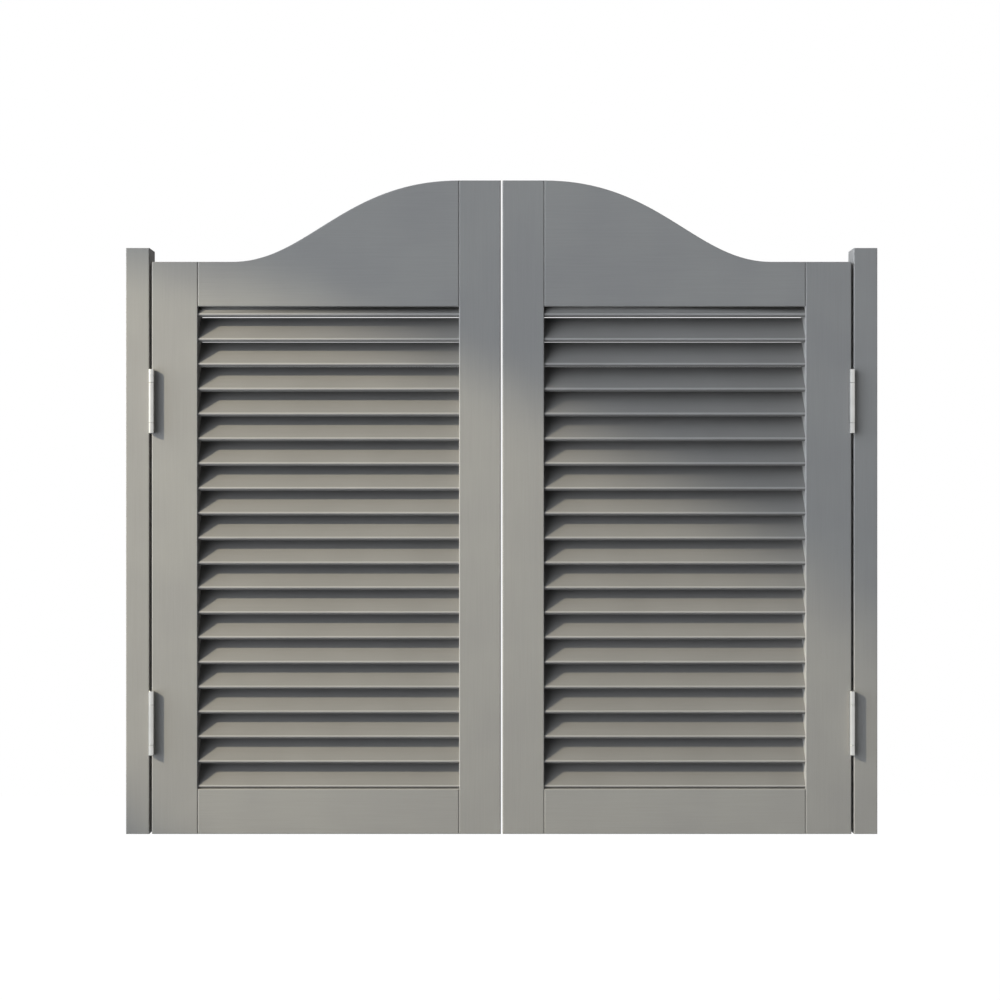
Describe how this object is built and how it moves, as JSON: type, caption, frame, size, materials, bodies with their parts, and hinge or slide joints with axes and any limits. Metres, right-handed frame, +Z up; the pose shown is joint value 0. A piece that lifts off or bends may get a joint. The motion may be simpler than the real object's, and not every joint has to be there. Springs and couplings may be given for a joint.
{
  "type": "cafe swinging doors",
  "caption": "Pair of ogee-topped louvred saloon leaves hung between slim posts on double-action spring hinges, swinging both ways across a doorway.",
  "frame": {"origin": "on the level of the leaves' lower edges, midway between the posts and in mid-thickness", "axes": "+X along the doorway to the right, +Y through it away from the front, +Z up"},
  "size_m": [0.9, 0.043, 0.783],
  "materials": {
    "paint": "satin grey paint on wood",
    "hinge_steel": "satin",
    "spring_steel": "oiled",
    "screw_steel": "zinc plated"
  },
  "bodies": {
    "posts": {"left_lower_jamb_flange": "hinge_steel", "left_post": "paint", "left_post_screws": "screw_steel", "left_upper_jamb_flange": "hinge_steel", "right_lower_jamb_flange": "hinge_steel", "right_post": "paint", "right_post_screws": "screw_steel", "right_upper_jamb_flange": "hinge_steel"},
    "left_plates": {"left_lower_centre_plate": "hinge_steel", "left_lower_door_spring": "spring_steel", "left_lower_door_tension_pin": "hinge_steel", "left_lower_jamb_spring": "spring_steel", "left_lower_jamb_tension_pin": "hinge_steel", "left_upper_centre_plate": "hinge_steel", "left_upper_door_spring": "spring_steel", "left_upper_door_tension_pin": "hinge_steel", "left_upper_jamb_spring": "spring_steel", "left_upper_jamb_tension_pin": "hinge_steel"},
    "left_leaf": {"left_bottom_rail": "paint", "left_hinge_stile": "paint", "left_leaf_screws": "screw_steel", "left_louvre_slats": "paint", "left_lower_door_flange": "hinge_steel", "left_meeting_stile": "paint", "left_top_rail": "paint", "left_top_slat": "paint", "left_upper_door_flange": "hinge_steel"},
    "right_plates": {"right_lower_centre_plate": "hinge_steel", "right_lower_door_spring": "spring_steel", "right_lower_door_tension_pin": "hinge_steel", "right_lower_jamb_spring": "spring_steel", "right_lower_jamb_tension_pin": "hinge_steel", "right_upper_centre_plate": "hinge_steel", "right_upper_door_spring": "spring_steel", "right_upper_door_tension_pin": "hinge_steel", "right_upper_jamb_spring": "spring_steel", "right_upper_jamb_tension_pin": "hinge_steel"},
    "right_leaf": {"right_bottom_rail": "paint", "right_hinge_stile": "paint", "right_leaf_screws": "screw_steel", "right_louvre_slats": "paint", "right_lower_door_flange": "hinge_steel", "right_meeting_stile": "paint", "right_top_rail": "paint", "right_top_slat": "paint", "right_upper_door_flange": "hinge_steel"}
  },
  "joints": [
    {"name": "left_back_swing", "type": "hinge", "parent": "posts", "child": "left_plates", "pos_m": [-0.4185, 0.018, 0.325], "axis": [0, 0, 1], "range_deg": [0, 90], "stiffness_Nm_per_rad": 1.2, "springref_deg": -57.3},
    {"name": "left_front_swing", "type": "hinge", "parent": "left_plates", "child": "left_leaf", "pos_m": [-0.4185, -0.018, 0.325], "axis": [0, 0, -1], "range_deg": [0, 90], "stiffness_Nm_per_rad": 1.2, "springref_deg": -57.3},
    {"name": "right_front_swing", "type": "hinge", "parent": "posts", "child": "right_plates", "pos_m": [0.4185, -0.018, 0.325], "axis": [0, 0, 1], "range_deg": [0, 90], "stiffness_Nm_per_rad": 1.2, "springref_deg": -57.3},
    {"name": "right_back_swing", "type": "hinge", "parent": "right_plates", "child": "right_leaf", "pos_m": [0.4185, 0.018, 0.325], "axis": [0, 0, -1], "range_deg": [0, 90], "stiffness_Nm_per_rad": 1.2, "springref_deg": -57.3}
  ]
}
